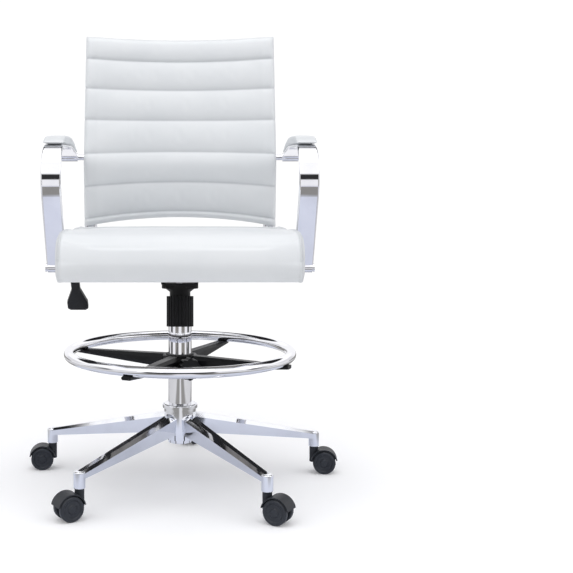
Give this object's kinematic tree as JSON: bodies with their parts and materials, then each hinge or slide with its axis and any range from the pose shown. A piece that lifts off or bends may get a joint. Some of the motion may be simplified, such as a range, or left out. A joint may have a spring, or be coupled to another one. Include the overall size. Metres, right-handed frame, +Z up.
{
  "type": "drafting chair",
  "caption": "Tall padded drafting chair with loop arms, a gas column, an adjustable foot ring, a tilting seat and a castered star base.",
  "frame": {"origin": "on the floor, on the axis of the gas column", "axes": "+Z up, -Y towards the front of the seat, -X towards the height lever (the right hand of a person sitting in it)"},
  "size_m": [0.6953, 0.6711, 1.0009],
  "materials": {
    "cast_chrome": "polished",
    "tube_chrome": "polished",
    "white_leather": "satin",
    "black_nylon": "satin",
    "caster_plastic": "satin",
    "tread_plastic": "satin",
    "black_steel": "satin",
    "zinc_steel": "satin",
    "guide_plastic": "matte",
    "spring_steel": "satin",
    "plywood": "matte"
  },
  "bodies": {
    "base": {"star_base": "cast_chrome", "column_tube": "tube_chrome", "guide_sleeve": "guide_plastic", "thrust_bearing": "zinc_steel"},
    "rod": {"piston_rod": "zinc_steel"},
    "lift": {"gas_cylinder": "tube_chrome", "mechanism_housing": "black_steel", "spring_cup": "black_steel", "tension_bolt": "zinc_steel", "tension_spring": "spring_steel", "pivot_bolt": "zinc_steel"},
    "button": {"release_button": "zinc_steel"},
    "lever_turn": {"lever_sleeve": "black_steel"},
    "lever": {"lever_rod": "tube_chrome", "lever_paddle": "black_nylon"},
    "washer": {"tension_washer": "zinc_steel"},
    "knob": {"tension_knob": "black_nylon"},
    "seat": {"seat_plate": "black_steel", "seat_plate_bolts": "zinc_steel", "seat_board": "plywood", "seat_cushion": "white_leather", "side_frame_left": "tube_chrome", "side_frame_right": "tube_chrome", "rail_plugs": "black_nylon", "rail_screws": "zinc_steel", "back_pad": "white_leather", "hem_tabs": "white_leather", "upper_band": "cast_chrome", "middle_band": "cast_chrome", "arm_bar_left": "tube_chrome", "arm_bar_right": "tube_chrome", "arm_stubs": "tube_chrome", "arm_pad_left": "white_leather", "arm_pad_right": "white_leather"},
    "ring_carrier": {"ring_bush": "guide_plastic"},
    "ring": {"ring_spider": "black_nylon", "foot_ring": "tube_chrome", "spoke_screws": "zinc_steel"},
    "clamp": {"clamp_pad": "guide_plastic"},
    "ring_knob": {"ring_knob": "black_nylon"},
    "caster_1": {"caster_hood_1": "caster_plastic", "caster_pins_1": "zinc_steel"},
    "wheel_a_1": {"caster_wheel_a_1": "tread_plastic"},
    "wheel_b_1": {"caster_wheel_b_1": "tread_plastic"},
    "caster_2": {"caster_hood_2": "caster_plastic", "caster_pins_2": "zinc_steel"},
    "wheel_a_2": {"caster_wheel_a_2": "tread_plastic"},
    "wheel_b_2": {"caster_wheel_b_2": "tread_plastic"},
    "caster_3": {"caster_hood_3": "caster_plastic", "caster_pins_3": "zinc_steel"},
    "wheel_a_3": {"caster_wheel_a_3": "tread_plastic"},
    "wheel_b_3": {"caster_wheel_b_3": "tread_plastic"},
    "caster_4": {"caster_hood_4": "caster_plastic", "caster_pins_4": "zinc_steel"},
    "wheel_a_4": {"caster_wheel_a_4": "tread_plastic"},
    "wheel_b_4": {"caster_wheel_b_4": "tread_plastic"},
    "caster_5": {"caster_hood_5": "caster_plastic", "caster_pins_5": "zinc_steel"},
    "wheel_a_5": {"caster_wheel_a_5": "tread_plastic"},
    "wheel_b_5": {"caster_wheel_b_5": "tread_plastic"}
  },
  "joints": [
    {"name": "seat_swivel", "type": "hinge", "parent": "base", "child": "rod", "pos_m": [0, 0, 0.1], "axis": [0, 0, 1], "continuous": true},
    {"name": "seat_lift", "type": "slide", "parent": "rod", "child": "lift", "axis": [0, 0, 1], "range_m": [-0.045, 0.155]},
    {"name": "seat_tilt", "type": "hinge", "parent": "lift", "child": "seat", "pos_m": [0, -0.05, 0.457], "axis": [-1, 0, 0], "range_deg": [0, 12], "stiffness_Nm_per_rad": 160, "springref_deg": -31.51},
    {"name": "lever_lift", "type": "hinge", "parent": "lift", "child": "lever_turn", "pos_m": [-0.038, 0.014, 0.438], "axis": [1, 0, 0], "range_deg": [0, 9], "stiffness_Nm_per_rad": 2, "springref_deg": -8.59},
    {"name": "button_press", "type": "slide", "parent": "lift", "child": "button", "axis": [0, 0, 1], "range_m": [-0.0028, 0]},
    {"name": "lever_pull", "type": "slide", "parent": "lever_turn", "child": "lever", "axis": [-1, 0, 0], "range_m": [0, 0.012]},
    {"name": "tension_travel", "type": "slide", "parent": "lift", "child": "washer", "axis": [0, 0.1219, 0.9925], "range_m": [0, 0.00605], "deforming": ["tension_spring"]},
    {"name": "tension_turn", "type": "hinge", "parent": "washer", "child": "knob", "pos_m": [0, -0.085, 0.384], "axis": [0, 0.1219, 0.9925], "range_deg": [0, 1440]},
    {"name": "ring_slide", "type": "slide", "parent": "base", "child": "ring_carrier", "axis": [0, 0, 1], "range_m": [-0.058, 0.02]},
    {"name": "ring_turn", "type": "hinge", "parent": "ring_carrier", "child": "ring", "pos_m": [0, 0, 0.26], "axis": [0, 0, 1], "continuous": true},
    {"name": "clamp_travel", "type": "slide", "parent": "ring", "child": "clamp", "axis": [0.342, -0.9397, 0], "range_m": [0, 0.00255]},
    {"name": "ring_knob_turn", "type": "hinge", "parent": "clamp", "child": "ring_knob", "pos_m": [0, 0, 0.257], "axis": [0.342, -0.9397, 0], "range_deg": [0, 720]},
    {"name": "caster_swivel_1", "type": "hinge", "parent": "base", "child": "caster_1", "pos_m": [0.29965, 0.07945, 0.06], "axis": [0, 0, 1], "continuous": true},
    {"name": "wheel_spin_a_1", "type": "hinge", "parent": "caster_1", "child": "wheel_a_1", "pos_m": [0.32256, 0.07744, 0.025], "axis": [0.0872, 0.9962, 0], "continuous": true},
    {"name": "wheel_spin_b_1", "type": "hinge", "parent": "caster_1", "child": "wheel_b_1", "pos_m": [0.32256, 0.07744, 0.025], "axis": [0.0872, 0.9962, 0], "continuous": true},
    {"name": "caster_swivel_2", "type": "hinge", "parent": "base", "child": "caster_2", "pos_m": [0.01704, 0.30953, 0.06], "axis": [0, 0, 1], "continuous": true},
    {"name": "wheel_spin_a_2", "type": "hinge", "parent": "caster_2", "child": "wheel_a_2", "pos_m": [0.02299, 0.33175, 0.025], "axis": [-0.9659, 0.2588, 0], "continuous": true},
    {"name": "wheel_spin_b_2", "type": "hinge", "parent": "caster_2", "child": "wheel_b_2", "pos_m": [0.02299, 0.33175, 0.025], "axis": [-0.9659, 0.2588, 0], "continuous": true},
    {"name": "caster_swivel_3", "type": "hinge", "parent": "base", "child": "caster_3", "pos_m": [-0.28912, 0.11185, 0.06], "axis": [0, 0, 1], "continuous": true},
    {"name": "wheel_spin_a_3", "type": "hinge", "parent": "caster_3", "child": "wheel_a_3", "pos_m": [-0.31203, 0.10985, 0.025], "axis": [0.0872, -0.9962, 0], "continuous": true},
    {"name": "wheel_spin_b_3", "type": "hinge", "parent": "caster_3", "child": "wheel_b_3", "pos_m": [-0.31203, 0.10985, 0.025], "axis": [0.0872, -0.9962, 0], "continuous": true},
    {"name": "caster_swivel_4", "type": "hinge", "parent": "base", "child": "caster_4", "pos_m": [-0.19572, -0.2404, 0.06], "axis": [0, 0, 1], "continuous": true},
    {"name": "wheel_spin_a_4", "type": "hinge", "parent": "caster_4", "child": "wheel_a_4", "pos_m": [-0.21564, -0.2519, 0.025], "axis": [0.5, -0.866, 0], "continuous": true},
    {"name": "wheel_spin_b_4", "type": "hinge", "parent": "caster_4", "child": "wheel_b_4", "pos_m": [-0.21564, -0.2519, 0.025], "axis": [0.5, -0.866, 0], "continuous": true},
    {"name": "caster_swivel_5", "type": "hinge", "parent": "base", "child": "caster_5", "pos_m": [0.16816, -0.26043, 0.06], "axis": [0, 0, 1], "continuous": true},
    {"name": "wheel_spin_a_5", "type": "hinge", "parent": "caster_5", "child": "wheel_a_5", "pos_m": [0.18807, -0.27193, 0.025], "axis": [0.5, 0.866, 0], "continuous": true},
    {"name": "wheel_spin_b_5", "type": "hinge", "parent": "caster_5", "child": "wheel_b_5", "pos_m": [0.18807, -0.27193, 0.025], "axis": [0.5, 0.866, 0], "continuous": true}
  ],
  "couplings": [
    {"joint": "button_press", "follows": "lever_lift", "m_per_rad": -0.0168},
    {"joint": "tension_travel", "follows": "tension_turn", "m_per_rad": 0.00023873},
    {"joint": "clamp_travel", "follows": "ring_knob_turn", "m_per_rad": 0.00019894}
  ]
}
